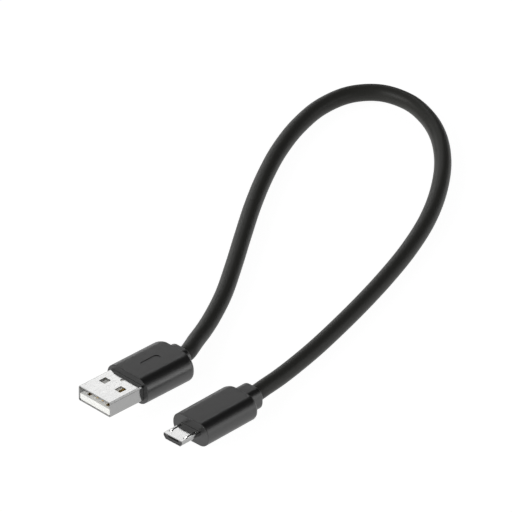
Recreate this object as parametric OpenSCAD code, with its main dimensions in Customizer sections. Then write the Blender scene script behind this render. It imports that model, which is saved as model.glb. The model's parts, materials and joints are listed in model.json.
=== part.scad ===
// Short charging cable: a USB-A plug, a round cord in one open loop, and a micro-B plug.
// Millimetres, +Z up. The origin is under the middle of the USB-A plug, on the surface it lies on.
// The USB-A plug lies along X with its mouth towards -X; the cord leaves it towards +X.

/* [USB-A plug] */
// Width of the metal shell
usb_shell_w = 12; // [11.9:0.05:12.1]
// Height of the metal shell
usb_shell_h = 4.5; // [4.4:0.05:4.6]
// Sheet thickness of the metal shell
usb_sheet = 0.3; // [0.25:0.05:0.3]
// Length of shell that stands out of the overmould
usb_exposed = 11.8; // [11.4:0.1:12]
// Width of the overmould
usb_body_w = 15.4; // [15:0.1:16.4]
// Height of the overmould
usb_body_h = 7.6; // [7.6:0.1:8.6]
// Length of the overmould without its collar
usb_body_l = 17.4; // [17.4:0.1:20]
// Length of the collar behind the overmould
usb_collar_l = 2.2; // [2.2:0.1:3.2]
// Width of the collar
usb_collar_w = 7.6; // [7:0.1:8.4]
// Height of the collar
usb_collar_h = 6.4; // [6.2:0.1:6.8]

/* [Micro-B plug] */
// Width of the metal shell at its wide side
micro_shell_w = 6.85; // [6.8:0.01:6.9]
// Height of the metal shell
micro_shell_h = 1.8; // [1.8:0.01:1.84]
// Sheet thickness of the metal shell
micro_sheet = 0.2; // [0.15:0.01:0.2]
// Length of shell that stands out of the overmould
micro_exposed = 6.6; // [6.4:0.1:6.9]
// Width of the overmould
micro_body_w = 12.8; // [11.6:0.1:13.2]
// Height of the overmould
micro_body_h = 6.8; // [6.8:0.1:8]
// Length of the overmould without its collar
micro_body_l = 19; // [19:0.1:21]
// Length of the collar behind the overmould
micro_collar_l = 4.4; // [4:0.1:5]
// Width of the collar
micro_collar_w = 7.2; // [6.8:0.1:8]
// Height of the collar
micro_collar_h = 6.2; // [6:0.1:6.6]

/* [Cord] */
// Diameter of the jacket
cord_d = 4.6; // [4.4:0.1:4.6]
// Wall of the jacket
jacket_wall = 0.65; // [0.5:0.05:0.65]
// Diameter of one insulated wire
wire_d = 1; // [0.9:0.05:1]
// Whole turns that the wires make about each other
wire_turns = 2; // [1:1:3]

/* [Hidden] */

$fn = 48;
cut = 1;            // how far a cutting solid runs past what it cuts
gap = 0.05;         // free space round a piece that lies inside another

// USB-A plug, lengths counted from the tip of its shell
usb_length = usb_exposed + usb_body_l + usb_collar_l;
usb_axis_z = usb_body_h / 2;
usb_shell_l = 18.75;
usb_shell_r = 0.5;
usb_window = [2.3, 2.1];
usb_window_at = [6.5, 2.95];
usb_dimple_at = 9.8;
usb_dimple_d = 0.9;
usb_tongue_from = 0.2;
usb_tongue_to = 10;
usb_block_to = 17.5;
usb_groove_from = 1;
usb_corner_cut = 0.6;
usb_contact_w = 1;
usb_contact_t = 0.3;
usb_contact_to = 20.4;
usb_contact_tip = [0.4, 0.12];   // how far the tip of a contact slopes, and how much
usb_pin_y = [3.5, 1, -1, -3.5];
usb_pin_from = [1.1, 2.1, 2.1, 1.1];
usb_can_from = usb_shell_l + gap;
usb_can_to = 27;
usb_can_hole_r = 2;
usb_mould_to = 26.5;
usb_mould_room = [8.6, 2.5];
usb_clamp_from = 28.3;
usb_rear_r = 1.8;
usb_badge = [6.4, 2.2, 0.15];
usb_badge_at = 20;

// Micro-B plug, placed on the floor beside the other one and turned a little
micro_tip = [-13.2, -26.75];
micro_turn = 2;
micro_axis_z = micro_body_h / 2;
micro_shell_l = 10;
micro_knee = [0.775, 0.9];      // how far the lower sides lean in, and over what height
micro_top_chamfer = 0.2;
micro_mouth_w = 3.7;
micro_mouth_to = 4.9;
micro_block_to = 6.3;
micro_insulator_from = 0.15;
micro_insulator_to = 9.2;
micro_insulator_floor = 0.3;     // height of the step that the latch base lies on
micro_pitch = 0.65;
micro_tail_pitch = 1.1;
micro_pin_y = [-2.2, -1.1, 0, 2.2];
spring_t = 0.12;
spring_w = 0.3;
spring_root = 5.2;
groove_w = 0.4;
groove_from = 0.6;
groove_floor = -0.45;
tails_room = [8, 2.6];          // where the tails begin to spread, and how far to each side
latch_y = 2.58;
latch_w = 0.45;
latch_t = 0.2;
latch_z = 0.35;
latch_root = 6.4;
latch_base_to = 8.8;
hook_top = 1.3;
latch_slot_w = 0.56;
latch_slot = [1.3, 6];
latch_room = [1.1, -0.15];      // front and floor of the room under a latch
micro_can = [7.4, 3.8];
micro_can_r = 0.6;
micro_can_from = micro_shell_l + gap;
micro_can_to = 20;
micro_can_sheet = 0.25;
micro_can_hole_r = 1.6;
micro_mould_to = 19.6;
micro_mould_room = [5.8, 2.4];
micro_tail_bend = [8.3, 9.8];
micro_tail_to = 12.1;
micro_clamp_from = 21.2;
micro_rear_r = 1.6;

// Overmoulds, the crimp ring on the jacket in each, and the openings round the cord
body_flat_side = 0.4;           // height of the flat band along an overmould's side
collar_corner_r = 2.2;
clamp_r = [2.35, 2.75];
clamp_l = 2;
bore_r = cord_d / 2 + gap;
clamp_room_r = clamp_r[1] + gap;

// Cord
jacket_sides = 12;
jacket_r = cord_d / 2;
jacket_bore_r = jacket_r - jacket_wall;
braid_r = [1.42, 1.55];
small_sides = 8;
wire_offset = 0.78;
wire_angles = [315, 45, 135, 225];
wire_lift = 0.55;               // height of a wire's middle over the contact it is soldered to

// The cord's route: it falls from the plug to the floor, goes round one open loop and rises again
route = [
    [12.3, 0, 3.8], [14, 0, 3.8], [15.7, 0, 3.8], [18.2, 0.6, 3.7], [20.6, 1.8, 3.5],
    [24.2, 3.8, 3.1], [29.3, 6.4, 2.6], [35.4, 9.7, 2.3], [45.3, 15.6, 2.3], [57.2, 24.1, 2.3],
    [69.1, 33, 2.3], [81.1, 41.8, 2.3], [93.1, 49.8, 2.3], [105.1, 56.7, 2.3], [117.2, 61.9, 2.3],
    [128.3, 64.5, 2.3], [137.8, 63.5, 2.3], [144, 58.6, 2.3], [146.2, 50.4, 2.3], [144.5, 41.6, 2.3],
    [140.2, 32.8, 2.3], [132.2, 22.8, 2.3], [121.2, 13.1, 2.3], [109.2, 5, 2.3], [96.2, -1.7, 2.3],
    [83.2, -7.1, 2.3], [69.2, -12.1, 2.3], [55.2, -16.5, 2.3], [44.2, -19.6, 2.3], [34.7, -21.9, 2.4],
    [27.2, -23.6, 2.7], [21.8, -24.8, 3.2], [16.8, -25.7, 3.4], [12.3, -25.85, 3.4], [7.8, -26, 3.4]
];

// ---- Helpers ----

// Puts the children, drawn from the tip of the USB-A plug, where that plug lies
module at_usb() {
    translate([-usb_length / 2, 0, usb_axis_z]) children();
}

// Puts the children, drawn from the tip of the micro-B plug, where that plug lies
module at_micro() {
    translate([micro_tip.x, micro_tip.y, micro_axis_z]) rotate([0, 0, micro_turn]) children();
}

// A flat outline in Y and Z, drawn out along X from one x to another
module along_x(from, to) {
    translate([from, 0, 0]) rotate([90, 0, 90]) linear_extrude(to - from) children();
}

// A flat outline in X and Z, drawn out across Y about a middle
module across_y(middle, width) {
    translate([0, middle + width / 2, 0]) rotate([90, 0, 0]) linear_extrude(width) children();
}

module rounded(w, h, r) {
    square([w - 2 * r, h], center = true);
    square([w, h - 2 * r], center = true);
    for (x = [-1, 1], y = [-1, 1]) translate([x * (w / 2 - r), y * (h / 2 - r)]) circle(r);
}

module block(from, to, y, z) {
    translate([from, y[0], z[0]]) cube([to - from, y[1] - y[0], z[1] - z[0]]);
}

module bore(from, to, r) {
    along_x(from, to) circle(r);
}

// A soft plug body of [length, width, height] with round sides and rear corners, and a collar of the
// same three sizes behind it
module soft_body(from, body, rear_r, collar) {
    back = from + body[0];
    intersection() {
        along_x(from, back) rounded(body[1], body[2], (body[2] - body_flat_side) / 2);
        linear_extrude(body[2] + cut, center = true) {
            translate([from - cut, -body[1] / 2 - cut]) square([body[0] + cut - rear_r, body[1] + 2 * cut]);
            translate([back - rear_r - cut, rear_r - body[1] / 2]) square([rear_r + cut, body[1] - 2 * rear_r]);
            for (y = [-1, 1]) translate([back - rear_r, y * (body[1] / 2 - rear_r)]) circle(rear_r);
        }
    }
    along_x(back - cut, back + collar[0]) rounded(collar[1], collar[2], collar_corner_r);
}

// Half of the flat outline of a screening can: above (1) or below (-1) the plug's axis
module can_half(w, h, r, side) {
    intersection() {
        rounded(w, h, r);
        translate([0, side * (h / 2 + gap / 2)]) square([w, h], center = true);
    }
}

// A solder joint's outline, from a foot on the contact up to the wire
module solder_outline(from, to, height) {
    polygon([[from, 0], [to - 0.2, 0], [to, 0.1], [to, height], [to - 0.4, height - 0.1], [from + 0.1, 0.3]]);
}

// ---- Sweeps along a route ----

function unit(v) = v / norm(v);
function heading(path, i) =
    i == 0 ? unit(path[1] - path[0]) :
    i == len(path) - 1 ? unit(path[i] - path[i - 1]) :
    unit(unit(path[i] - path[i - 1]) + unit(path[i + 1] - path[i]));
function left_of(t) = unit(cross([0, 0, 1], t));
function round_point(path, i, r, a) =
    let (t = heading(path, i), s = left_of(t)) path[i] + r * (cos(a) * s + sin(a) * cross(t, s));
function rings(path, r, sides) =
    [for (i = [0 : len(path) - 1]) for (k = [0 : sides - 1]) round_point(path, i, r, 360 * k / sides)];

// The two triangles of one side of a tube, between ring i and the next
function wall_out(i, k, n, base) =
    let (a = base + i * n + k, b = base + i * n + (k + 1) % n, c = b + n, d = a + n)
    [[a, d, c], [a, c, b]];
function wall_in(i, k, n, base) = [for (f = wall_out(i, k, n, base)) [f[0], f[2], f[1]]];

module rod(path, r, sides) {
    last = len(path) - 1;
    polyhedron(
        points = rings(path, r, sides),
        faces = concat(
            [for (i = [0 : last - 1]) for (k = [0 : sides - 1]) each wall_out(i, k, sides, 0)],
            [[for (k = [0 : sides - 1]) k]],
            [[for (k = [sides - 1 : -1 : 0]) last * sides + k]]
        )
    );
}

module pipe(path, r_out, r_in, sides) {
    last = len(path) - 1;
    inner = len(path) * sides;
    end = last * sides;
    polyhedron(
        points = concat(rings(path, r_out, sides), rings(path, r_in, sides)),
        faces = concat(
            [for (i = [0 : last - 1]) for (k = [0 : sides - 1]) each wall_out(i, k, sides, 0)],
            [for (i = [0 : last - 1]) for (k = [0 : sides - 1]) each wall_in(i, k, sides, inner)],
            [for (k = [0 : sides - 1]) [k, (k + 1) % sides, inner + (k + 1) % sides]],
            [for (k = [0 : sides - 1]) [k, inner + (k + 1) % sides, inner + k]],
            [for (k = [0 : sides - 1]) [end + k, inner + end + (k + 1) % sides, end + (k + 1) % sides]],
            [for (k = [0 : sides - 1]) [end + k, inner + end + k, inner + end + (k + 1) % sides]]
        )
    );
}

// ---- USB-A plug ----

module usb_section(inset) {
    rounded(usb_shell_w - 2 * inset, usb_shell_h - 2 * inset, usb_shell_r - inset);
}

module usb_a_shell() {
    color([0.86, 0.86, 0.86]) at_usb() difference() {
        along_x(0, usb_shell_l) usb_section(0);
        along_x(-cut, usb_shell_l + cut) usb_section(usb_sheet);
        for (y = [-1, 1])
            translate([usb_window_at.x, y * usb_window_at.y, 0])
                cube([usb_window.x, usb_window.y, usb_shell_h + cut], center = true);
        translate([usb_dimple_at, 0, 0]) cylinder(d = usb_dimple_d, h = usb_shell_h);
    }
}

module usb_a_insulator() {
    inner_w = usb_shell_w - 2 * usb_sheet - 2 * gap;
    bottom = usb_sheet + gap - usb_shell_h / 2;
    color([0.93, 0.93, 0.91]) at_usb() difference() {
        union() {
            block(usb_tongue_from, usb_block_to, [-inner_w / 2, inner_w / 2], [bottom, 0]);
            block(usb_tongue_to, usb_block_to, [-inner_w / 2, inner_w / 2], [bottom, -bottom]);
        }
        for (y = usb_pin_y)
            block(usb_groove_from, usb_block_to + cut,
                [y - usb_contact_w / 2 - gap, y + usb_contact_w / 2 + gap], [-usb_contact_t - gap, gap]);
        // Room for the rounded corners of the shell
        for (y = [-1, 1], z = [-1, 1])
            translate([usb_block_to / 2, y * inner_w / 2, z * bottom]) rotate([45, 0, 0])
                cube([usb_block_to + 2 * cut, usb_corner_cut, usb_corner_cut], center = true);
    }
}

// A contact strip with a turned-down tip, lying in its groove
module usb_contact(i) {
    color([0.85, 0.66, 0.3]) at_usb() across_y(usb_pin_y[i], usb_contact_w) polygon([
        [usb_pin_from[i], -usb_contact_t], [usb_contact_to, -usb_contact_t], [usb_contact_to, 0],
        [usb_pin_from[i] + usb_contact_tip[0], 0], [usb_pin_from[i], -usb_contact_tip[1]]
    ]);
}

module usb_a_contact_vbus() { usb_contact(0); }
module usb_a_contact_d_minus() { usb_contact(1); }
module usb_a_contact_d_plus() { usb_contact(2); }
module usb_a_contact_gnd() { usb_contact(3); }

module usb_can_half(side) {
    color([0.75, 0.75, 0.74]) at_usb() difference() {
        along_x(usb_can_from, usb_can_to) can_half(usb_shell_w, usb_shell_h, usb_shell_r, side);
        along_x(usb_can_from - cut, usb_can_to - usb_sheet) usb_section(usb_sheet);
        bore(usb_can_to - cut, usb_can_to + cut, usb_can_hole_r);
    }
}

module usb_a_shield_can_lower() { usb_can_half(-1); }
module usb_a_shield_can_upper() { usb_can_half(1); }

module usb_a_solder_joints() {
    color([0.7, 0.7, 0.72]) at_usb() for (y = usb_pin_y)
        across_y(y, 0.8) solder_outline(19.5, 20.55, 0.95);
}

module usb_a_inner_mould() {
    w = usb_shell_w - 2 * usb_sheet - 2 * gap;
    h = usb_shell_h - 2 * usb_sheet - 2 * gap;
    color([0.85, 0.87, 0.82]) at_usb() difference() {
        along_x(usb_can_from + gap, usb_mould_to) rounded(w, h, 0.5);
        along_x(usb_can_from - cut, usb_mould_to + cut) square(usb_mould_room, center = true);
    }
}

// A crimp ring round the end of the jacket
module crimp_ring(from) {
    color([0.72, 0.45, 0.3]) difference() {
        bore(from, from + clamp_l, clamp_r[1]);
        bore(from - cut, from + clamp_l + cut, clamp_r[0]);
    }
}

module usb_a_cable_clamp() {
    at_usb() crimp_ring(usb_clamp_from);
}

module usb_a_overmould() {
    color([0.2, 0.2, 0.2]) at_usb() difference() {
        soft_body(usb_exposed, [usb_body_l, usb_body_w, usb_body_h], usb_rear_r,
            [usb_collar_l, usb_collar_w, usb_collar_h]);
        along_x(usb_exposed - cut, usb_can_to + 3 * gap) usb_section(-gap);
        bore(usb_can_to, usb_clamp_from + clamp_l + 2 * gap, clamp_room_r);
        bore(usb_can_to, usb_length + cut, bore_r);
        translate([usb_badge_at, 0, usb_body_h / 2 - usb_badge[2]]) linear_extrude(cut) {
            square([usb_badge[0] - usb_badge[1], usb_badge[1]], center = true);
            for (x = [-1, 1]) translate([x * (usb_badge[0] - usb_badge[1]) / 2, 0]) circle(usb_badge[1] / 2);
        }
    }
}

// ---- Cord ----

module cord_jacket() {
    color([0.17, 0.18, 0.19]) pipe(route, jacket_r, jacket_bore_r, jacket_sides);
}

module cord_shield_braid() {
    color([0.72, 0.7, 0.66]) pipe(route, braid_r[1], braid_r[0], small_sides);
}

// A place given from the tip of a plug, in the model's own frame
function from_usb(p) = [p.x - usb_length / 2, p.y, usb_axis_z + p.z];
function from_micro(p) = [
    micro_tip.x + p.x * cos(micro_turn) - p.y * sin(micro_turn),
    micro_tip.y + p.x * sin(micro_turn) + p.y * cos(micro_turn),
    micro_axis_z + p.z
];
// How much of its pin's place an outer or an inner wire still keeps half way to the bundle
function keep(i) = i == 0 || i == 3 ? 0.7 : 0.3;
// Height of an outer or an inner wire half way to the bundle
function fan_z(i) = i == 0 || i == 3 ? -0.2 : wire_lift;
function fan_y(i, pin, bundle) = keep(i) * pin + (1 - keep(i)) * bundle;
function bundle_y(i) = wire_offset * cos(wire_angles[i]);

function wire_path(i) = concat(
    [
        from_usb([20.6, usb_pin_y[i], wire_lift]),
        from_usb([22, usb_pin_y[i], wire_lift]),
        from_usb([24.6, fan_y(i, usb_pin_y[i], bundle_y(i)), fan_z(i)])
    ],
    [for (k = [0 : len(route) - 1])
        round_point(route, k, wire_offset, wire_angles[i] + 360 * wire_turns * k / (len(route) - 1))],
    [
        from_micro([17.2, fan_y(i, micro_pin_y[i], -bundle_y(i)), fan_z(i)]),
        from_micro([14, micro_pin_y[i], wire_lift]),
        from_micro([12.2, micro_pin_y[i], wire_lift])
    ]
);

module wire(i) { rod(wire_path(i), wire_d / 2, small_sides); }
module wire_vbus() { color([0.75, 0.1, 0.08]) wire(0); }
module wire_d_minus() { color([0.92, 0.92, 0.9]) wire(1); }
module wire_d_plus() { color([0.1, 0.5, 0.2]) wire(2); }
module wire_gnd() { color([0.08, 0.08, 0.08]) wire(3); }

// ---- Micro-B plug ----

// The shell's outline, wide side up, with every side moved in by inset
function micro_outline(inset) =
    let (
        lean = atan2(micro_knee[1], micro_knee[0]),
        top = micro_shell_h / 2 - inset,
        half = micro_shell_w / 2 - inset,
        knee = micro_shell_h / 2 - micro_knee[1] + inset * tan(45 - lean / 2),
        foot = micro_shell_w / 2 - micro_knee[0] - inset * tan(lean / 2),
        right = [[half, knee], [half, top - micro_top_chamfer], [half - micro_top_chamfer, top]]
    )
    concat([[foot, -top]], right, [for (i = [2 : -1 : 0]) [-right[i].x, right[i].y]], [[-foot, -top]]);

module micro_section(inset) {
    polygon(micro_outline(inset));
}

module micro_b_shell() {
    color([0.86, 0.86, 0.86]) at_micro() difference() {
        along_x(0, micro_shell_l) micro_section(0);
        along_x(-cut, micro_shell_l + cut) micro_section(micro_sheet);
        for (y = [-1, 1])
            block(latch_slot[0], latch_slot[1],
                [y * latch_y - latch_slot_w / 2, y * latch_y + latch_slot_w / 2], [0.3, micro_shell_h]);
    }
}

module micro_b_insulator() {
    room = latch_w / 2 + 0.07;
    color([0.12, 0.12, 0.12]) at_micro() difference() {
        along_x(micro_insulator_from, micro_insulator_to) micro_section(micro_sheet + 0.02);
        block(-cut, micro_mouth_to, [-micro_mouth_w / 2, micro_mouth_w / 2], [0, cut]);
        block(micro_block_to, micro_insulator_to + cut,
            [-micro_shell_w / 2, micro_shell_w / 2], [micro_insulator_floor, cut]);
        for (i = [-2 : 2], y = i * micro_pitch) {
            block(groove_from, spring_root, [y - groove_w / 2, y + groove_w / 2], [groove_floor, cut / 2]);
            block(spring_root - gap, micro_insulator_to + cut,
                [y - groove_w / 2, y + groove_w / 2], [-spring_t - gap, gap]);
        }
        block(tails_room[0], micro_insulator_to + cut, [-tails_room[1], tails_room[1]],
            [-spring_t - gap, cut / 2]);
        for (y = [-1, 1])
            block(latch_room[0], micro_block_to + cut,
                [y * latch_y - room, y * latch_y + room], [latch_room[1], cut]);
    }
}

// A spring contact, hinged at its root, that bulges up into the mouth
module spring_contact(i) {
    line = [[spring_root - 0.02, -0.06], [3.2, 0], [1.9, 0.12], [1.55, 0.16], [1.2, 0.08], [1, -0.02]];
    color([0.85, 0.66, 0.3]) at_micro() across_y((i - 3) * micro_pitch, spring_w) polygon(concat(
        [for (p = line) p + [0, spring_t / 2]],
        [for (k = [len(line) - 1 : -1 : 0]) line[k] - [0, spring_t / 2]]
    ));
}

module micro_b_contact_spring_1() { spring_contact(1); }
module micro_b_contact_spring_2() { spring_contact(2); }
module micro_b_contact_spring_3() { spring_contact(3); }
module micro_b_contact_spring_4() { spring_contact(4); }
module micro_b_contact_spring_5() { spring_contact(5); }

module micro_b_contact_tails() {
    half = spring_w / 2;
    color([0.8, 0.62, 0.3]) at_micro() translate([0, 0, -spring_t]) for (i = [-2 : 2])
        linear_extrude(spring_t) polygon([
            [spring_root + 0.02, i * micro_pitch - half], [micro_tail_bend[0], i * micro_pitch - half],
            [micro_tail_bend[1], i * micro_tail_pitch - half], [micro_tail_to, i * micro_tail_pitch - half],
            [micro_tail_to, i * micro_tail_pitch + half], [micro_tail_bend[1], i * micro_tail_pitch + half],
            [micro_tail_bend[0], i * micro_pitch + half], [spring_root + 0.02, i * micro_pitch + half]
        ]);
}

// A sprung arm with a hook that stands up through the slot in the shell
module latch(y) {
    top = latch_z + latch_t;
    color([0.8, 0.8, 0.8]) at_micro() across_y(y, latch_w) polygon([
        [1.5, latch_z], [latch_root, latch_z], [latch_root, top], [2.75, top],
        [2.65, hook_top - 0.03], [2.25, hook_top], [1.5, top + 0.05]
    ]);
}

module micro_b_latch_left() { latch(latch_y); }
module micro_b_latch_right() { latch(-latch_y); }

module micro_b_latch_base() {
    half = latch_y + latch_w / 2;
    color([0.8, 0.8, 0.8]) at_micro()
        block(latch_root + gap, latch_base_to, [-half, half], [latch_z, latch_z + latch_t]);
}

module micro_can_half(side) {
    color([0.75, 0.75, 0.74]) at_micro() difference() {
        along_x(micro_can_from, micro_can_to) can_half(micro_can.x, micro_can.y, micro_can_r, side);
        along_x(micro_can_from - cut, micro_can_to - micro_can_sheet)
            rounded(micro_can.x - 2 * micro_can_sheet, micro_can.y - 2 * micro_can_sheet,
                micro_can_r - micro_can_sheet);
        bore(micro_can_to - cut, micro_can_to + cut, micro_can_hole_r);
    }
}

module micro_b_shield_can_lower() { micro_can_half(-1); }
module micro_b_shield_can_upper() { micro_can_half(1); }

module micro_b_solder_joints() {
    color([0.7, 0.7, 0.72]) at_micro() for (y = micro_pin_y)
        across_y(y, 0.5) solder_outline(11.2, 12.15, 0.9);
}

module micro_b_inner_mould() {
    w = micro_can.x - 2 * micro_can_sheet - 2 * gap;
    h = micro_can.y - 2 * micro_can_sheet - 2 * gap;
    color([0.85, 0.87, 0.82]) at_micro() difference() {
        along_x(micro_can_from + gap, micro_mould_to) rounded(w, h, 0.3);
        along_x(micro_can_from - cut, micro_mould_to + cut) square(micro_mould_room, center = true);
    }
}

module micro_b_cable_clamp() {
    at_micro() crimp_ring(micro_clamp_from);
}

module micro_b_overmould() {
    color([0.2, 0.2, 0.2]) at_micro() difference() {
        soft_body(micro_exposed, [micro_body_l, micro_body_w, micro_body_h], micro_rear_r,
            [micro_collar_l, micro_collar_w, micro_collar_h]);
        along_x(micro_exposed - cut, micro_can_to) micro_section(-gap);
        along_x(micro_shell_l, micro_can_to + 3 * gap)
            rounded(micro_can.x + 2 * gap, micro_can.y + 2 * gap, micro_can_r + gap);
        bore(micro_can_to, micro_clamp_from + clamp_l + 2 * gap, clamp_room_r);
        bore(micro_can_to, micro_exposed + micro_body_l + micro_collar_l + cut, bore_r);
    }
}

usb_a_shell();
usb_a_insulator();
usb_a_contact_vbus();
usb_a_contact_d_minus();
usb_a_contact_d_plus();
usb_a_contact_gnd();
usb_a_shield_can_lower();
usb_a_shield_can_upper();
usb_a_solder_joints();
usb_a_inner_mould();
usb_a_cable_clamp();
usb_a_overmould();
cord_jacket();
cord_shield_braid();
wire_vbus();
wire_d_minus();
wire_d_plus();
wire_gnd();
micro_b_shell();
micro_b_insulator();
micro_b_contact_spring_1();
micro_b_contact_spring_2();
micro_b_contact_spring_3();
micro_b_contact_spring_4();
micro_b_contact_spring_5();
micro_b_contact_tails();
micro_b_latch_left();
micro_b_latch_right();
micro_b_latch_base();
micro_b_shield_can_lower();
micro_b_shield_can_upper();
micro_b_solder_joints();
micro_b_inner_mould();
micro_b_cable_clamp();
micro_b_overmould();
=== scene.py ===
"""The looks of a short charging cable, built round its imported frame.

Lengths are in metres, except for those of the cord and the plugs, which are in millimetres. The cord's are
in the frame's axes. A plug's are counted from the tip of its shell: x along the plug, y across it and z up
from its axis.
"""

import json
import math

import bmesh
import bpy
from mathutils import Matrix, Vector


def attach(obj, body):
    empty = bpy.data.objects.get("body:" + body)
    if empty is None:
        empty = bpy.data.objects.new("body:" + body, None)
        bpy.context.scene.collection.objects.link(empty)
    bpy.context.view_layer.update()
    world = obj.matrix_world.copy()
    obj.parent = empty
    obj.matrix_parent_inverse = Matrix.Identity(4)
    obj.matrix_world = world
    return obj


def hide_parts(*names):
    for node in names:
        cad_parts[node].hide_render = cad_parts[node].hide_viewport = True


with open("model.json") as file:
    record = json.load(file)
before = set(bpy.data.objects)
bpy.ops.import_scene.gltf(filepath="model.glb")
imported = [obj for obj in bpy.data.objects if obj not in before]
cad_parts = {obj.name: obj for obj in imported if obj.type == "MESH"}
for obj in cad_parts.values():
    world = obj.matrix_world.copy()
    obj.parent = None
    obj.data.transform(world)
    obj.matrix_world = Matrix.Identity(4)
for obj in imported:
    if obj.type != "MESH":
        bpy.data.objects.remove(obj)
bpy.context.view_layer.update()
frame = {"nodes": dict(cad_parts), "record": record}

MM = 0.001
NODES = frame["nodes"]
RECORD = frame["record"]


# ---- Where the plugs are ----


def plug_place(mount_name):
    """The matrix from a plug's own millimetres to the frame's metres, read from the plug's mount."""
    mount = next(m for m in RECORD["mounts"] if m["name"] == mount_name)
    inwards = -Vector(mount["axis"]).normalized()
    up = Vector((0, 0, 1))
    across = up.cross(inwards)
    turn = Matrix((inwards, across, up)).transposed().to_4x4()
    return Matrix.Translation(mount["pos_m"]) @ turn @ Matrix.Scale(MM, 4)


def plug_box(node, place):
    """Lowest and highest corner of a CAD node in a plug's own millimetres."""
    back = place.inverted()
    points = [back @ v.co for v in NODES[node].data.vertices]
    low = Vector(min(p[i] for p in points) for i in range(3))
    high = Vector(max(p[i] for p in points) for i in range(3))
    return low, high


USB = plug_place("usb_a_plug")
MICRO = plug_place("micro_b_plug")


# ---- Mesh helpers: outlines are lists of (y, z), anticlockwise as seen from the cord's end ----

ARC = 10
SHARP = math.radians(40)
MERGE_DISTANCE = 1e-8
WELD_DISTANCE = 1e-6


def rounded(width, height, radius, steps=ARC):
    """A rectangle with round corners."""
    radius = min(radius, width / 2, height / 2)
    outline = []
    for quarter, (sy, sz) in enumerate([(1, 1), (-1, 1), (-1, -1), (1, -1)]):
        for k in range(steps + 1):
            a = math.radians(90 * (quarter + k / steps))
            y = sy * (width / 2 - radius) + radius * math.cos(a)
            z = sz * (height / 2 - radius) + radius * math.sin(a)
            outline.append((y, z))
    return outline


def round_corners(points, radii, steps=5):
    """A polygon whose corners become arcs of the given radii."""
    outline = []
    count = len(points)
    for i, radius in enumerate(radii):
        here = Vector(points[i])
        before = (Vector(points[i - 1]) - here).normalized()
        after = (Vector(points[(i + 1) % count]) - here).normalized()
        half = before.angle(after) / 2
        centre = here + (before + after).normalized() * (radius / math.sin(half))
        first = here + before * (radius / math.tan(half)) - centre
        last = here + after * (radius / math.tan(half)) - centre
        for k in range(steps + 1):
            arm = first.lerp(last, k / steps).normalized() * radius
            outline.append(tuple(centre + arm))
    return outline


def mesh_piece(name, points, faces, place):
    """A piece from points in a plug's own millimetres."""
    mesh = bpy.data.meshes.new(name)
    mesh.from_pydata([place @ Vector(p) for p in points], [], faces)
    shape = bmesh.new()
    shape.from_mesh(mesh)
    bmesh.ops.remove_doubles(shape, verts=shape.verts, dist=MERGE_DISTANCE)
    bmesh.ops.dissolve_degenerate(shape, edges=shape.edges, dist=MERGE_DISTANCE)
    bmesh.ops.recalc_face_normals(shape, faces=shape.faces)
    shape.to_mesh(mesh)
    shape.free()
    piece = bpy.data.objects.new(name, mesh)
    bpy.context.scene.collection.objects.link(piece)
    return piece


def loft(name, rings, place, closed=False):
    """A skin over rings of (x, outline), with flat ends, or joined from its last ring to its first."""
    count = len(rings[0][1])
    points = [(x, y, z) for x, outline in rings for y, z in outline]
    faces = []
    for i in range(len(rings) if closed else len(rings) - 1):
        a = i * count
        b = (i + 1) % len(rings) * count
        for k in range(count):
            n = (k + 1) % count
            faces.append((a + k, a + n, b + n, b + k))
    if not closed:
        faces.append(tuple(reversed(range(count))))
        faces.append(tuple(range(len(points) - count, len(points))))
    return mesh_piece(name, points, faces, place)


def prism(name, outline, start, end, place):
    return loft(name, [(start, outline), (end, outline)], place)


def upright(name, outline, low, high, place):
    """A straight column over an outline of (x, y)."""
    count = len(outline)
    points = [(x, y, z) for z in (low, high) for x, y in outline]
    faces = [(k, (k + 1) % count, count + (k + 1) % count, count + k) for k in range(count)]
    faces.append(tuple(range(count)))
    faces.append(tuple(range(count, 2 * count)))
    return mesh_piece(name, points, faces, place)


def moved(outline, x, y):
    return [(x + a, y + b) for a, b in outline]


def carve(piece, *cutters):
    """Takes the cutters out of a piece."""
    for cutter in cutters:
        step = piece.modifiers.new("carve", "BOOLEAN")
        step.object = cutter
        step.operation = "DIFFERENCE"
        step.solver = "EXACT"
    graph = bpy.context.evaluated_depsgraph_get()
    cut = bpy.data.meshes.new_from_object(piece.evaluated_get(graph))
    piece.modifiers.clear()
    piece.data = cut
    for cutter in cutters:
        bpy.data.objects.remove(cutter)


def finish_mesh(piece, bevel=0.0):
    """Smooth shading with crisp edges, a small bevel if one is asked for, and flat faces kept flat."""
    piece.data.shade_smooth()
    if bevel:
        soften = piece.modifiers.new("soften", "BEVEL")
        soften.width = bevel * MM
        soften.segments = 2
        soften.limit_method = "ANGLE"
        soften.angle_limit = SHARP
    else:
        piece.data.set_sharp_from_angle(angle=SHARP)
    flat = piece.modifiers.new("flat_faces", "WEIGHTED_NORMAL")
    flat.keep_sharp = True
    flat.weight = 100


# ---- Camera ----

VIEW_AZIMUTH = math.radians(-43.8)
VIEW_ELEVATION = math.radians(32.5)
VIEW_TARGET = Vector((0.0671, 0.026, 0))
VIEW_DISTANCE = 5.584
VIEW_LENS = 1500


def make_camera():
    data = bpy.data.cameras.new("camera")
    data.lens = VIEW_LENS
    data.clip_end = 3 * VIEW_DISTANCE
    camera = bpy.data.objects.new("camera", data)
    bpy.context.scene.collection.objects.link(camera)
    flat = math.cos(VIEW_ELEVATION)
    back = Vector((math.sin(VIEW_AZIMUTH) * flat, -math.cos(VIEW_AZIMUTH) * flat, math.sin(VIEW_ELEVATION)))
    camera.location = VIEW_TARGET + back * VIEW_DISTANCE
    camera.rotation_mode = "QUATERNION"
    camera.rotation_quaternion = (-back).to_track_quat("-Z", "Y")
    bpy.context.scene.camera = camera


make_camera()


# ---- Cord ----

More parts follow.
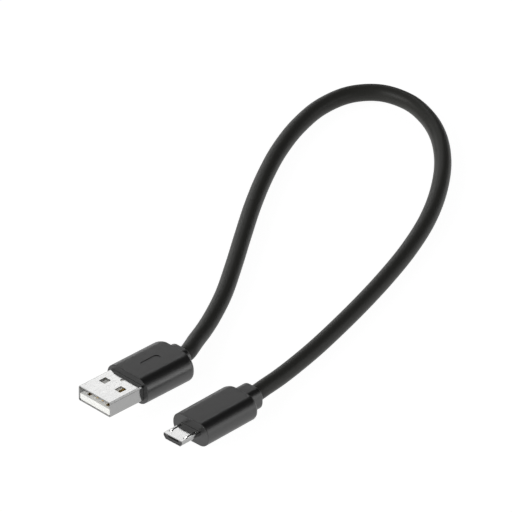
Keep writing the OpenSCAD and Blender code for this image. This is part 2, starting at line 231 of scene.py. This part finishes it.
JACKET_D = 4.6
JACKET_BORE_D = 3.3
BRAID_D = (3.1, 2.84)
WIRE_D = 1.0
WIRE_OFFSET = 0.78
WIRE_TURNS = 2
WIRE_ANGLES = [315, 45, 135, 225]
WIRE_LIFT = 0.55
OUTER_WIRE_LIFT = -0.2
OUTER_WIRE_KEEPS = 0.7
INNER_WIRE_KEEPS = 0.3
USB_PINS = (3.5, 1, -1, -3.5)
MICRO_PINS = (-2.2, -1.1, 0, 2.2)

# How far from a plug's tip a wire is soldered on, starts to fan in, and is half way to the bundle
USB_WIRE_X = (20.6, 22, 24.6)
MICRO_WIRE_X = (12.2, 14, 17.2)

# The route's points, in millimetres, as the CAD part has them
ROUTE = [
    (12.3, 0, 3.8), (14, 0, 3.8), (15.7, 0, 3.8), (18.2, 0.6, 3.7), (20.6, 1.8, 3.5),
    (24.2, 3.8, 3.1), (29.3, 6.4, 2.6), (35.4, 9.7, 2.3), (45.3, 15.6, 2.3), (57.2, 24.1, 2.3),
    (69.1, 33, 2.3), (81.1, 41.8, 2.3), (93.1, 49.8, 2.3), (105.1, 56.7, 2.3), (117.2, 61.9, 2.3),
    (128.3, 64.5, 2.3), (137.8, 63.5, 2.3), (144, 58.6, 2.3), (146.2, 50.4, 2.3), (144.5, 41.6, 2.3),
    (140.2, 32.8, 2.3), (132.2, 22.8, 2.3), (121.2, 13.1, 2.3), (109.2, 5, 2.3), (96.2, -1.7, 2.3),
    (83.2, -7.1, 2.3), (69.2, -12.1, 2.3), (55.2, -16.5, 2.3), (44.2, -19.6, 2.3), (34.7, -21.9, 2.4),
    (27.2, -23.6, 2.7), (21.8, -24.8, 3.2), (16.8, -25.7, 3.4), (12.3, -25.85, 3.4), (7.8, -26, 3.4),
]


def smooth_route(points, steps):
    """A centripetal Catmull-Rom line through the points, with so many steps from each to the next."""
    points = [Vector(p) for p in points]
    points = [2 * points[0] - points[1]] + points + [2 * points[-1] - points[-2]]
    line = []
    for i in range(1, len(points) - 2):
        p = points[i - 1:i + 3]
        knots = [0.0]
        for a, b in zip(p, p[1:]):
            knots.append(knots[-1] + math.sqrt((b - a).length))
        for k in range(steps):
            t = knots[1] + (knots[2] - knots[1]) * k / steps
            near = [mixed(p[j], p[j + 1], knots[j], knots[j + 1], t) for j in range(3)]
            mid = [mixed(near[j], near[j + 1], knots[j], knots[j + 2], t) for j in range(2)]
            line.append(mixed(mid[0], mid[1], knots[1], knots[2], t))
    return line + [points[-2]]


def mixed(a, b, at_a, at_b, t):
    return a + (b - a) * ((t - at_a) / (at_b - at_a))


def frames(line):
    """The heading, left and up directions at each point of a line."""
    found = []
    for i, p in enumerate(line):
        heading = (line[min(i + 1, len(line) - 1)] - line[max(i - 1, 0)]).normalized()
        left = Vector((0, 0, 1)).cross(heading).normalized()
        found.append((p, left, heading.cross(left)))
    return found


def tube(name, line, diameter, bore_d=0.0, sides=32):
    """A round cord along a line given in millimetres, hollow if it has a bore."""
    last = (len(line) - 1) * sides
    inner = len(line) * sides
    points = []
    for d in (diameter, bore_d) if bore_d else (diameter,):
        for p, left, up in frames(line):
            for k in range(sides):
                a = math.tau * k / sides
                points.append(p + d / 2 * (math.cos(a) * left + math.sin(a) * up))
    faces = []
    for base in (0, inner) if bore_d else (0,):
        for i in range(len(line) - 1):
            for k in range(sides):
                a = base + i * sides
                n = (k + 1) % sides
                faces.append((a + k, a + n, a + sides + n, a + sides + k))
    for end in (0, last):
        if bore_d:
            for k in range(sides):
                n = (k + 1) % sides
                faces.append((end + k, end + n, inner + end + n, inner + end + k))
        else:
            faces.append(tuple(range(end, end + sides)))
    piece = mesh_piece(name, points, faces, Matrix.Scale(MM, 4))
    piece.data.shade_smooth()
    piece.data.set_sharp_from_angle(angle=SHARP)
    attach(piece, "cable")
    return piece


def fan(i, pin, bundle):
    """Place, across the plug and up, of a wire half way from its pin to the bundle."""
    outer = i in (0, 3)
    keep = OUTER_WIRE_KEEPS if outer else INNER_WIRE_KEEPS
    return keep * pin + (1 - keep) * bundle, OUTER_WIRE_LIFT if outer else WIRE_LIFT


def wire_end(place, distances, i, pin, bundle):
    """A wire's three points inside a plug, from its pin on, in the frame's millimetres."""
    soldered, bend, half_way = distances
    points = [(soldered, pin, WIRE_LIFT), (bend, pin, WIRE_LIFT), (half_way, *fan(i, pin, bundle))]
    return [place @ Vector(p) / MM for p in points]


def wire_line(i, line):
    """A wire from its USB-A contact, twisted through the cord, to its micro-B contact."""
    bundle = WIRE_OFFSET * math.cos(math.radians(WIRE_ANGLES[i]))
    start = wire_end(USB, USB_WIRE_X, i, USB_PINS[i], bundle)
    finish = wire_end(MICRO, MICRO_WIRE_X, i, MICRO_PINS[i], -bundle)[::-1]
    middle = []
    for k, (p, left, up) in enumerate(frames(line)):
        angle = math.radians(WIRE_ANGLES[i] + 360 * WIRE_TURNS * k / (len(line) - 1))
        middle.append(p + WIRE_OFFSET * (math.cos(angle) * left + math.sin(angle) * up))
    return smooth_route(start + middle[:1], 6)[:-1] + middle + smooth_route(middle[-1:] + finish, 6)[1:]


route_line = smooth_route(ROUTE, 8)
jacket = tube("cord_jacket_smooth", route_line, JACKET_D, JACKET_BORE_D, sides=40)
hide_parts("cord_jacket")
braid = tube("cord_shield_braid_smooth", route_line, *BRAID_D, sides=24)
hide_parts("cord_shield_braid")
WIRES = ["wire_vbus", "wire_d_minus", "wire_d_plus", "wire_gnd"]
wires = []
for number, node in enumerate(WIRES):
    wire = tube(node + "_smooth", wire_line(number, route_line), WIRE_D, sides=12)
    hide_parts(node)
    wires.append(wire)


# ---- Plug overmoulds ----

FRONT_FILLET = 0.15
COLLAR_ROOT_FILLET = 0.3
COLLAR_END_FILLET = 0.8
CAVITY_GAP = 0.05
CLAMP_ROOM_R = 2.8
CLAMP_ROOM_L = 2.1
CORD_BORE_R = 2.33
BORE_FLARE = 0.15
LEAST_STEP = 0.02   # between the root of a collar and the rounded edge of its body
PAST = 1.0          # how far a cutter runs past what it cuts


def quarter_arc(radius, steps=6):
    """Steps along a quarter circle: how far along it has come, and how far in from where it began."""
    for k in range(steps + 1):
        a = math.radians(90 * k / steps)
        yield radius * math.sin(a), radius * (1 - math.cos(a))


def overmould(name, node, place, corner_r, rear_r, edge_r, collar):
    """The outer skin of a soft plug body and its collar, and where the body ends."""
    low, high = plug_box(node, place)
    width = high.y - low.y
    height = high.z - low.z
    collar_l, collar_w, collar_h, collar_r = collar
    back = high.x - collar_l
    rings = []
    for along, inset in quarter_arc(FRONT_FILLET):
        less = 2 * (FRONT_FILLET - along)
        outline = rounded(width - less, height - less, corner_r - less / 2)
        rings.append((low.x + inset, outline))
    for along, side in quarter_arc(rear_r, steps=14):
        past = max(0.0, along - (rear_r - edge_r))
        top = edge_r - math.sqrt(max(0.0, edge_r ** 2 - past ** 2))
        outline = rounded(width - 2 * side, height - 2 * top, corner_r - top)
        rings.append((back - rear_r + along, outline))
    for along, inset in quarter_arc(COLLAR_ROOT_FILLET, steps=4):
        more = 2 * (COLLAR_ROOT_FILLET - along)
        tall = max(collar_h, min(collar_h + more, height - 2 * edge_r - LEAST_STEP))
        rings.append((back + inset, rounded(collar_w + more, tall, collar_r)))
    for along, inset in quarter_arc(COLLAR_END_FILLET):
        outline = rounded(collar_w - 2 * inset, collar_h - 2 * inset, collar_r)
        rings.append((high.x - COLLAR_END_FILLET + along, outline))
    return loft(name, rings, place), low.x, high.x


def bore(name, radius, start, end, place):
    return prism(name, rounded(2 * radius, 2 * radius, radius), start, end, place)


def cord_bore(name, start, end, place):
    """The cutter for the cord's way out, flared where the collar ends."""
    rings = [(start, rounded(2 * CORD_BORE_R, 2 * CORD_BORE_R, CORD_BORE_R))]
    for along, inset in quarter_arc(BORE_FLARE):
        r = CORD_BORE_R + inset
        rings.append((end - BORE_FLARE + along, rounded(2 * r, 2 * r, r)))
    r = CORD_BORE_R + BORE_FLARE
    rings.append((end + PAST, rounded(2 * r, 2 * r, r)))
    return loft(name, rings, place)


# ---- USB-A plug ----

USB_SHELL_R = 0.5
USB_SHEET = 0.3
EDGE_ROUND = 0.06
USB_CORNER_R = 3.6
USB_REAR_R = 1.8
USB_EDGE_R = 0.4
USB_COLLAR = (2.2, 7.6, 6.4, 2.2)
USB_CAVITY_END = 27.15
USB_CLAMP_END = 30.4
USB_WINDOW = (2.3, 2.1)
USB_WINDOW_AT = (6.5, 2.95)
USB_WINDOW_R = 0.2
USB_DIMPLE_AT = 9.8
USB_DIMPLE_D = 0.9
USB_BADGE = (6.4, 2.2)
USB_BADGE_AT = 20
BADGE_DEPTH = 0.15
SEAM_W = 0.06
USB_SHELL_BEVEL = 0.05


def usb_overmould():
    piece, front, end = overmould(
        "usb_a_overmould_body", "usb_a_overmould", USB, USB_CORNER_R, USB_REAR_R, USB_EDGE_R, USB_COLLAR
    )
    low, high = plug_box("usb_a_shell", USB)
    room = rounded(high.y - low.y + 2 * CAVITY_GAP, high.z - low.z + 2 * CAVITY_GAP, USB_SHELL_R)
    top = plug_box("usb_a_overmould", USB)[1].z
    badge = moved(rounded(*USB_BADGE, USB_BADGE[1] / 2), USB_BADGE_AT, 0)
    carve(
        piece,
        prism("room", room, front - PAST, USB_CAVITY_END, USB),
        bore("clamp_room", CLAMP_ROOM_R, USB_CAVITY_END - PAST, USB_CLAMP_END, USB),
        cord_bore("way_out", USB_CLAMP_END - PAST, end, USB),
        upright("badge", badge, top - BADGE_DEPTH, top + PAST, USB),
    )
    finish_mesh(piece)
    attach(piece, "cable")
    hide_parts("usb_a_overmould")
    return piece


def sheet_shell(name, outline_of, sheet, length, place):
    """A tube of sheet metal whose front edge is slightly rounded, closed on itself."""
    rings = [(length, outline_of(0))]
    edge = [(EDGE_ROUND - along, inset) for along, inset in quarter_arc(EDGE_ROUND, steps=4)]
    rings += [(x, outline_of(inset)) for x, inset in edge]
    rings += [(x, outline_of(sheet - inset)) for x, inset in reversed(edge)]
    rings.append((length, outline_of(sheet)))
    return loft(name, rings, place, closed=True)


def usb_shell():
    low, high = plug_box("usb_a_shell", USB)
    width = high.y - low.y
    height = high.z - low.z

    def outline_of(inset):
        return rounded(width - 2 * inset, height - 2 * inset, USB_SHELL_R - inset)

    piece = sheet_shell("usb_a_shell_body", outline_of, USB_SHEET, high.x, USB)
    window = rounded(*USB_WINDOW, USB_WINDOW_R, steps=4)
    dimple = moved(rounded(USB_DIMPLE_D, USB_DIMPLE_D, USB_DIMPLE_D / 2, steps=5), USB_DIMPLE_AT, 0)
    end = high.x + PAST
    seam = [(-PAST, -SEAM_W / 2), (end, -SEAM_W / 2), (end, SEAM_W / 2), (-PAST, SEAM_W / 2)]
    at_x, at_y = USB_WINDOW_AT
    cutters = [
        upright("window", moved(window, at_x, side * at_y), low.z - PAST, high.z + PAST, USB)
        for side in (-1, 1)
    ]
    cutters.append(upright("dimple", dimple, 0, high.z + PAST, USB))
    cutters.append(upright("seam", seam, low.z - PAST, 0, USB))
    carve(piece, *cutters)
    finish_mesh(piece, bevel=USB_SHELL_BEVEL)
    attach(piece, "cable")
    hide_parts("usb_a_shell")
    return piece


# ---- Micro-B plug ----

MICRO_CORNER_R = 3.2
MICRO_REAR_R = 1.6
MICRO_EDGE_R = 0.4
MICRO_COLLAR = (4.4, 7.2, 6.2, 2.2)
MICRO_SHEET = 0.2
MICRO_KNEE = (0.775, 0.9)
MICRO_TOP_R = 0.3
MICRO_LOW_R = 0.4
MICRO_CAN = (7.4, 3.8)
MICRO_CAN_R = 0.6
MICRO_CAN_START = 10
MICRO_CAN_END = 20.15
MICRO_CLAMP_END = 23.3
LATCH_Y = 2.58
LATCH_SLOT_W = 0.56
LATCH_SLOT = (1.3, 6)
LATCH_SLOT_R = 0.2
LATCH_SLOT_FLOOR = 0.3
LEAST_CORNER_R = 0.1
MICRO_SHELL_BEVEL = 0.03


def micro_outline(half_w, half_h, inset):
    """The shell's outline, wide side up, with every side moved in by inset."""
    lean = math.atan2(MICRO_KNEE[1], MICRO_KNEE[0])
    top = half_h - inset
    half = half_w - inset
    knee = half_h - MICRO_KNEE[1] + inset * math.tan(math.radians(45) - lean / 2)
    foot = half_w - MICRO_KNEE[0] - inset * math.tan(lean / 2)
    corners = [(foot, -top), (half, knee), (half, top), (-half, top), (-half, knee), (-foot, -top)]
    radii = [max(LEAST_CORNER_R, r - inset) for r in (MICRO_LOW_R, MICRO_LOW_R, MICRO_TOP_R)]
    return round_corners(corners, radii + radii[::-1])


def micro_overmould():
    piece, front, end = overmould(
        "micro_b_overmould_body", "micro_b_overmould", MICRO,
        MICRO_CORNER_R, MICRO_REAR_R, MICRO_EDGE_R, MICRO_COLLAR,
    )
    high = plug_box("micro_b_shell", MICRO)[1]
    shell_room = micro_outline(high.y, high.z, -CAVITY_GAP)
    can_room = rounded(MICRO_CAN[0] + 2 * CAVITY_GAP, MICRO_CAN[1] + 2 * CAVITY_GAP, MICRO_CAN_R)
    carve(
        piece,
        prism("shell_room", shell_room, front - PAST, MICRO_CAN_START + PAST, MICRO),
        prism("can_room", can_room, MICRO_CAN_START, MICRO_CAN_END, MICRO),
        bore("clamp_room", CLAMP_ROOM_R, MICRO_CAN_END - PAST, MICRO_CLAMP_END, MICRO),
        cord_bore("way_out", MICRO_CLAMP_END - PAST, end, MICRO),
    )
    finish_mesh(piece)
    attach(piece, "cable")
    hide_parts("micro_b_overmould")
    return piece


def micro_shell():
    high = plug_box("micro_b_shell", MICRO)[1]

    def outline_of(inset):
        return micro_outline(high.y, high.z, inset)

    piece = sheet_shell("micro_b_shell_body", outline_of, MICRO_SHEET, high.x, MICRO)
    slot = rounded(LATCH_SLOT[1] - LATCH_SLOT[0], LATCH_SLOT_W, LATCH_SLOT_R, steps=4)
    middle = (LATCH_SLOT[0] + LATCH_SLOT[1]) / 2
    carve(piece, *[
        upright("latch_slot", moved(slot, middle, side * LATCH_Y), LATCH_SLOT_FLOOR, high.z + PAST, MICRO)
        for side in (-1, 1)
    ])
    finish_mesh(piece, bevel=MICRO_SHELL_BEVEL)
    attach(piece, "cable")
    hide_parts("micro_b_shell")
    return piece


usb_overmould_piece = usb_overmould()
usb_shell_piece = usb_shell()
micro_overmould_piece = micro_overmould()
micro_shell_piece = micro_shell()


# ---- Materials ----


def new_material(slot, colour, roughness, metallic=0.0, specular=0.5, ior=1.5):
    material = bpy.data.materials.new(slot)
    material.use_nodes = True
    shader = material.node_tree.nodes["Principled BSDF"]
    shader.inputs["Base Color"].default_value = (*colour, 1)
    shader.inputs["Roughness"].default_value = roughness
    shader.inputs["Metallic"].default_value = metallic
    shader.inputs["Specular IOR Level"].default_value = specular
    shader.inputs["IOR"].default_value = ior
    return material, material.node_tree, shader


def noise(tree, size_mm, detail=2.0, stretch=(1, 1, 1)):
    """A noise from 0 to 1 whose blots are about so many millimetres across, drawn out by stretch."""
    place = tree.nodes.new("ShaderNodeTexCoord")
    mapping = tree.nodes.new("ShaderNodeMapping")
    mapping.inputs["Scale"].default_value = [1 / s for s in stretch]
    texture = tree.nodes.new("ShaderNodeTexNoise")
    texture.inputs["Scale"].default_value = 1 / (size_mm * MM)
    texture.inputs["Detail"].default_value = detail
    tree.links.new(place.outputs["Object"], mapping.inputs["Vector"])
    tree.links.new(mapping.outputs["Vector"], texture.inputs["Vector"])
    return texture.outputs["Fac"]


def spread(tree, value, low, high):
    """Maps the middle of a noise onto a range."""
    ranged = tree.nodes.new("ShaderNodeMapRange")
    ranged.inputs["From Min"].default_value = 0.3
    ranged.inputs["From Max"].default_value = 0.7
    ranged.inputs["To Min"].default_value = low
    ranged.inputs["To Max"].default_value = high
    tree.links.new(value, ranged.inputs["Value"])
    return ranged.outputs["Result"]


def tinted(tree, value, first, second):
    mix = tree.nodes.new("ShaderNodeMix")
    mix.data_type = "RGBA"
    mix.inputs["A"].default_value = (*first, 1)
    mix.inputs["B"].default_value = (*second, 1)
    tree.links.new(value, mix.inputs["Factor"])
    return mix.outputs["Result"]


def bumped(tree, shader, height, depth_mm):
    bump = tree.nodes.new("ShaderNodeBump")
    bump.inputs["Strength"].default_value = 1.0
    bump.inputs["Distance"].default_value = depth_mm * MM
    tree.links.new(height, bump.inputs["Height"])
    tree.links.new(bump.outputs["Normal"], shader.inputs["Normal"])


def plastic(slot, dark, light, roughness, specular, grain_mm, grain_depth, ior=1.5, uneven=0.03):
    """Moulded plastic: a clouded colour, uneven gloss and a fine grain."""
    material, tree, shader = new_material(slot, light, roughness, specular=specular, ior=ior)
    clouds = noise(tree, 3.0, detail=3)
    tree.links.new(tinted(tree, clouds, dark, light), shader.inputs["Base Color"])
    gloss = spread(tree, noise(tree, 1.2, detail=3), roughness - uneven, roughness + uneven)
    tree.links.new(gloss, shader.inputs["Roughness"])
    bumped(tree, shader, noise(tree, grain_mm, detail=2), grain_depth)
    return material


def metal(slot, dark, light, roughness, draw=(12, 1, 1), line_mm=0.12, line_depth=0.0003):
    """Drawn sheet metal: fine lines along the drawing direction, and cloudy wear."""
    material, tree, shader = new_material(slot, light, roughness, metallic=1.0)
    wear = noise(tree, 1.5, detail=4)
    tree.links.new(tinted(tree, wear, dark, light), shader.inputs["Base Color"])
    lines = noise(tree, line_mm, detail=3, stretch=draw)
    tree.links.new(spread(tree, lines, roughness - 0.03, roughness + 0.04), shader.inputs["Roughness"])
    bumped(tree, shader, lines, line_depth)
    return material


def woven(slot, dark, light, roughness, pitch_mm):
    """Braided fine wire: two crossing sets of ridges, with painted shade that darkens the colour in the
    hollows between them.
    """
    material, tree, shader = new_material(slot, light, roughness, metallic=1.0)
    place = tree.nodes.new("ShaderNodeTexCoord")
    heights = []
    for slant in (45, -45):
        mapping = tree.nodes.new("ShaderNodeMapping")
        mapping.inputs["Rotation"].default_value = (0, 0, math.radians(slant))
        wave = tree.nodes.new("ShaderNodeTexWave")
        wave.inputs["Scale"].default_value = 1 / (pitch_mm * MM) / 2
        tree.links.new(place.outputs["Object"], mapping.inputs["Vector"])
        tree.links.new(mapping.outputs["Vector"], wave.inputs["Vector"])
        heights.append(wave.outputs["Fac"])
    weave = tree.nodes.new("ShaderNodeMath")
    weave.operation = "MULTIPLY"
    tree.links.new(heights[0], weave.inputs[0])
    tree.links.new(heights[1], weave.inputs[1])
    # Painted shade: the colour is dark where the weave is low, in the hollows between the strands, and light
    # on the ridges.
    tree.links.new(tinted(tree, weave.outputs["Value"], dark, light), shader.inputs["Base Color"])
    bumped(tree, shader, weave.outputs["Value"], 0.05)
    return material


MATERIALS = {
    "shell_steel": metal("shell_steel", (0.39, 0.39, 0.39), (0.42, 0.42, 0.415), 0.15, line_depth=0.00004),
    "can_steel": metal("can_steel", (0.42, 0.42, 0.41), (0.55, 0.55, 0.54), 0.35),
    "spring_steel": metal("spring_steel", (0.6, 0.6, 0.59), (0.72, 0.72, 0.71), 0.2),
    "gold_contact": metal("gold_contact", (0.72, 0.48, 0.14), (0.86, 0.62, 0.24), 0.2),
    "crimp_copper": metal("crimp_copper", (0.5, 0.24, 0.13), (0.68, 0.36, 0.22), 0.32),
    "solder": metal("solder", (0.5, 0.5, 0.52), (0.66, 0.66, 0.69), 0.25, draw=(1, 1, 1), line_mm=0.4),
    "tinned_braid": woven("tinned_braid", (0.25, 0.24, 0.22), (0.66, 0.63, 0.58), 0.35, 0.35),
    "white_plastic": plastic("white_plastic", (0.78, 0.78, 0.75), (0.86, 0.86, 0.83), 0.38, 0.5, 0.3, 0.002),
    "black_insulator": plastic(
        "black_insulator", (0.03, 0.03, 0.03), (0.04, 0.04, 0.04), 0.4, 0.5, 0.2, 0.002
    ),
    "inner_mould": plastic("inner_mould", (0.68, 0.7, 0.62), (0.78, 0.8, 0.73), 0.45, 0.5, 0.5, 0.004),
    "black_overmould": plastic(
        "black_overmould", (0.007, 0.007, 0.007), (0.008, 0.008, 0.008), 0.38, 0.5, 0.12, 0.001,
        ior=1.8, uneven=0.008,
    ),
    "black_jacket": plastic(
        "black_jacket", (0.032, 0.032, 0.029), (0.038, 0.038, 0.035), 0.42, 0.5, 0.25, 0.001,
        ior=1.25, uneven=0.01,
    ),
    "wire_red": plastic("wire_red", (0.5, 0.02, 0.015), (0.62, 0.035, 0.025), 0.35, 0.5, 0.3, 0.002),
    "wire_white": plastic("wire_white", (0.78, 0.78, 0.75), (0.86, 0.86, 0.83), 0.35, 0.5, 0.3, 0.002),
    "wire_green": plastic("wire_green", (0.015, 0.25, 0.05), (0.025, 0.34, 0.08), 0.35, 0.5, 0.3, 0.002),
    "wire_black": plastic("wire_black", (0.014, 0.014, 0.014), (0.024, 0.024, 0.024), 0.35, 0.5, 0.3, 0.002),
}
SLOT_OF = {part["node"]: part["material_slot"] for part in RECORD["subparts"]}


def paint(piece, node):
    """Gives a new piece the material and the record's slot of the node that it stands for."""
    piece.data.materials.clear()
    piece.data.materials.append(MATERIALS[SLOT_OF[node]])


paint(jacket, "cord_jacket")
paint(braid, "cord_shield_braid")
for wire, node in zip(wires, WIRES):
    paint(wire, node)
paint(usb_overmould_piece, "usb_a_overmould")
paint(usb_shell_piece, "usb_a_shell")
paint(micro_overmould_piece, "micro_b_overmould")
paint(micro_shell_piece, "micro_b_shell")


def dress(node, bevel):
    """Material and softened edges for a CAD node that stays as it is."""
    piece = NODES[node]
    piece.data.materials.clear()
    piece.data.materials.append(MATERIALS[SLOT_OF[node]])
    weld = piece.modifiers.new("weld", "WELD")
    weld.merge_threshold = WELD_DISTANCE
    soften = piece.modifiers.new("soften", "BEVEL")
    soften.width = bevel * MM
    soften.segments = 2
    soften.limit_method = "ANGLE"
    soften.angle_limit = SHARP


# The first word that a node's name holds decides its bevel
BEVELS = {"spring": 0.02, "contact": 0.04, "tails": 0.02, "latch": 0.04, "can": 0.05, "solder": 0.08}
OTHER_BEVEL = 0.1
for node, piece in NODES.items():
    if not piece.hide_render:
        dress(node, next((size for word, size in BEVELS.items() if word in node), OTHER_BEVEL))


# ---- Pieces that ride on the cord, listed ----

ON_CORD = [braid, *wires, micro_overmould_piece, micro_shell_piece]
ON_CORD += [piece for node, piece in NODES.items() if node.startswith("micro_b_") and not piece.hide_render]


# ---- Studio ----

FLOOR_SIZE = 6.0
FLOOR_SEEN = 0.95
FLOOR_LIGHT = 0.85
FLOOR_DIFFUSE = 0.3
ROOM_LIGHT = 0.045

# Name, azimuth and elevation as the camera's are counted, size in metres and radiance of each soft light
SOFTBOX_DISTANCE = 1.5
SOFTBOXES = [
    ("far_softbox", 136.2, 33, (0.34, 0.25), 2.3),
    ("back_softbox", 156, 12, (1.0, 0.4), 2.0),
    ("back_left_softbox", -136, 32, (1.0, 0.7), 1.7),
    ("right_softbox", 36, 16, (2.0, 0.8), 1.3),
    ("left_softbox", -90, 22, (1.2, 0.8), 1.2),
]

# These light only some pieces: the insides of the mouths, the metal, the cord and the USB-A overmould
MOUTH_SOFTBOX = ("mouth_softbox", -43.8, 32.5, (0.5, 0.5), 20)
METAL_SOFTBOXES = [
    ("edge_softbox", 77, 50, (1.2, 0.8), 1.2),
    ("top_softbox", 0, 90, (0.9, 0.9), 0.8),
]
CORD_SOFTBOX = ("cord_softbox", -120, 39, (0.9, 0.6), 5)
USB_SOFTBOX = ("usb_softbox", 38, 9, (1.2, 0.4), 1.2)
INSIDE_WORDS = ("insulator", "contact", "latch")


def seen_or_felt(tree, seen, felt):
    """One strength where the camera looks straight at it, and another where it lights the object."""
    path = tree.nodes.new("ShaderNodeLightPath")
    choice = tree.nodes.new("ShaderNodeMapRange")
    choice.inputs["To Min"].default_value = felt
    choice.inputs["To Max"].default_value = seen
    tree.links.new(path.outputs["Is Camera Ray"], choice.inputs["Value"])
    return choice.outputs["Result"]


def make_floor():
    """A pale table that glows evenly, as in a product studio, and takes only a faint shadow."""
    mesh = bpy.data.meshes.new("floor")
    half = FLOOR_SIZE / 2
    corners = [(-half, -half, 0), (half, -half, 0), (half, half, 0), (-half, half, 0)]
    mesh.from_pydata(corners, [], [(0, 1, 2, 3)])
    floor = bpy.data.objects.new("floor", mesh)
    bpy.context.scene.collection.objects.link(floor)
    material = bpy.data.materials.new("floor")
    material.use_nodes = True
    tree = material.node_tree
    shader = tree.nodes["Principled BSDF"]
    shader.inputs["Base Color"].default_value = (FLOOR_DIFFUSE, FLOOR_DIFFUSE, FLOOR_DIFFUSE, 1)
    shader.inputs["Roughness"].default_value = 1.0
    shader.inputs["Specular IOR Level"].default_value = 0.0
    shader.inputs["Emission Color"].default_value = (1, 1, 1, 1)
    tree.links.new(seen_or_felt(tree, FLOOR_SEEN, FLOOR_LIGHT), shader.inputs["Emission Strength"])
    mesh.materials.append(material)


def make_room():
    """A dim even room, seen as plain white behind the object."""
    world = bpy.data.worlds.new("room")
    world.use_nodes = True
    bpy.context.scene.world = world
    tree = world.node_tree
    background = tree.nodes["Background"]
    background.inputs["Color"].default_value = (1, 1, 1, 1)
    tree.links.new(seen_or_felt(tree, 1.0, ROOM_LIGHT), background.inputs["Strength"])


def softbox(name, azimuth, elevation, size, radiance):
    """An area light aimed at the middle of the object."""
    data = bpy.data.lights.new(name, "AREA")
    data.shape = "RECTANGLE"
    data.size = size[0]
    data.size_y = size[1]
    data.energy = radiance * math.pi * size[0] * size[1]
    a = math.radians(azimuth)
    e = math.radians(elevation)
    away = Vector((math.sin(a) * math.cos(e), -math.cos(a) * math.cos(e), math.sin(e)))
    lamp = bpy.data.objects.new(name, data)
    lamp.location = VIEW_TARGET + away * SOFTBOX_DISTANCE
    lamp.rotation_mode = "QUATERNION"
    lamp.rotation_quaternion = away.to_track_quat("Z", "Y")
    lamp.visible_camera = False
    bpy.context.scene.collection.objects.link(lamp)
    return lamp


def chosen(name, pieces):
    """A collection of some pieces, for a lamp to refer to."""
    collection = bpy.data.collections.new(name)
    for piece in pieces:
        collection.objects.link(piece)
    return collection


def light_only(lamp, lit, shaded_by=None):
    """Keeps a lamp's light to some pieces, and its shadows to some others if they are given."""
    lamp.light_linking.receiver_collection = chosen(lamp.name + "_lit", lit)
    if shaded_by:
        lamp.light_linking.blocker_collection = chosen(lamp.name + "_shades", shaded_by)


make_floor()
make_room()
for values in SOFTBOXES:
    softbox(*values)
INSIDES = [piece for node, piece in NODES.items() if any(word in node for word in INSIDE_WORDS)]
light_only(softbox(*MOUTH_SOFTBOX), INSIDES)
for values in METAL_SOFTBOXES:
    light_only(softbox(*values), INSIDES + [usb_shell_piece, micro_shell_piece])
light_only(softbox(*CORD_SOFTBOX), [jacket])
light_only(softbox(*USB_SOFTBOX), [usb_overmould_piece], shaded_by=[usb_overmould_piece])

bpy.context.scene.view_settings.view_transform = "Standard"
